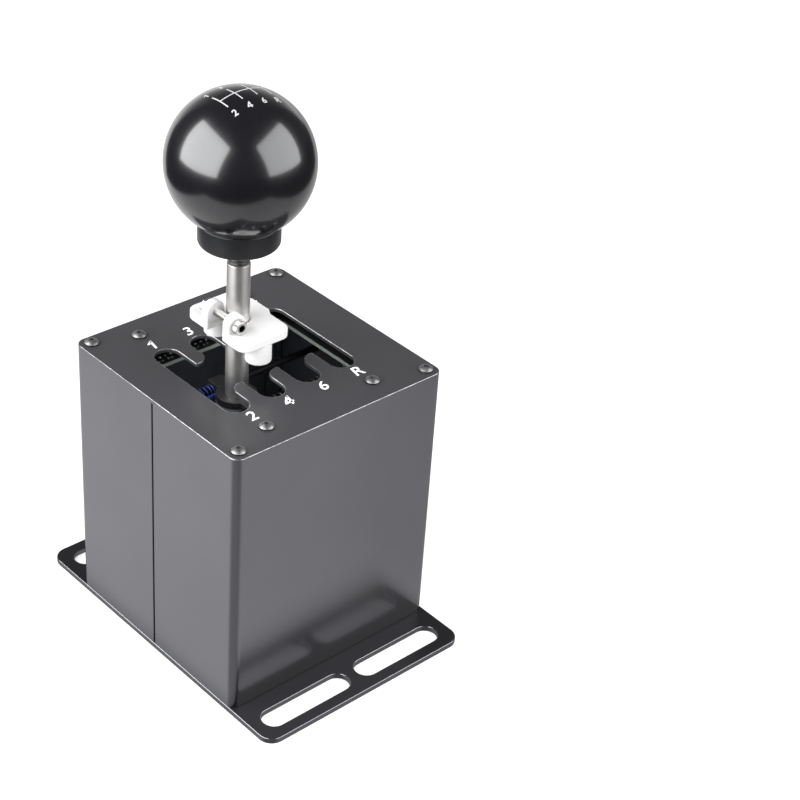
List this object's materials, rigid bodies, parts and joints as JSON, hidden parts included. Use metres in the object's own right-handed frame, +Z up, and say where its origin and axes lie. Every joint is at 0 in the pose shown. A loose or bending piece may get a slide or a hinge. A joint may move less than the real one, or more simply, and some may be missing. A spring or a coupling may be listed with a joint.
{
  "type": "sim racing gear shifter",
  "caption": "Box-shaped desktop gear shifter: a gated lever with a ball knob that swings fore and aft, slides sideways against springs and bolts down through slotted flanges.",
  "frame": {"origin": "centre of the base plate's underside", "axes": "+X to the driver's right, +Y away from the driver, +Z up along the lever"},
  "size_m": [0.1, 0.146, 0.2318],
  "materials": {
    "case_paint": "satin black-grey powder coat",
    "screw_black": "dark nickel plate",
    "zinc_steel": "bright zinc plate",
    "lever_steel": "satin turned steel",
    "spring_blue": "blue lacquer",
    "spring_black": "black lacquer",
    "rod_black": "black oxide on ground steel",
    "bronze": "sintered bronze",
    "nylon_white": "white moulded nylon",
    "nylon_black": "black moulded nylon",
    "knob_black": "high gloss black",
    "board_black": "black solder mask",
    "chip_black": "moulded epoxy"
  },
  "bodies": {
    "frame": {"base_plate": "case_paint", "front_shell": "case_paint", "rear_shell": "case_paint", "corner_posts": "zinc_steel", "post_screws": "screw_black", "tab_screws": "screw_black", "tab_nuts": "zinc_steel", "gate_plate": "case_paint", "gate_screws": "screw_black", "board_screws": "screw_black", "board_spacers": "nylon_white", "board_nuts": "zinc_steel", "sensor_board": "board_black", "position_sensors": "chip_black", "controller_chip": "chip_black", "usb_socket": "zinc_steel", "left_bracket": "zinc_steel", "right_bracket": "zinc_steel", "bracket_screws": "screw_black", "pivot_shaft": "zinc_steel", "shaft_clips": "screw_black"},
    "yoke": {"left_arm": "zinc_steel", "right_arm": "zinc_steel", "arm_bushes": "bronze", "front_rod": "rod_black", "rear_rod": "rod_black", "rod_clips": "screw_black", "left_spring": "spring_blue", "right_spring": "spring_black"},
    "lever": {"lever_rod": "lever_steel", "foot_block": "nylon_black", "foot_bushes": "bronze", "guide_hub": "nylon_black", "grub_screws": "screw_black", "hub_magnets": "zinc_steel", "knob": "knob_black", "knob_insert": "bronze", "knob_collar": "knob_black", "saddle": "nylon_white", "saddle_screw": "zinc_steel", "saddle_nut": "zinc_steel"}
  },
  "joints": [
    {"name": "shift", "type": "hinge", "parent": "frame", "child": "yoke", "pos_m": [0, 0, 0.03], "axis": [1, 0, 0], "range_deg": [-13, 13]},
    {"name": "select", "type": "slide", "parent": "yoke", "child": "lever", "axis": [1, 0, 0], "range_m": [-0.017, 0.034], "stiffness_N_per_m": 180, "deforming": ["left_spring", "right_spring"]}
  ]
}
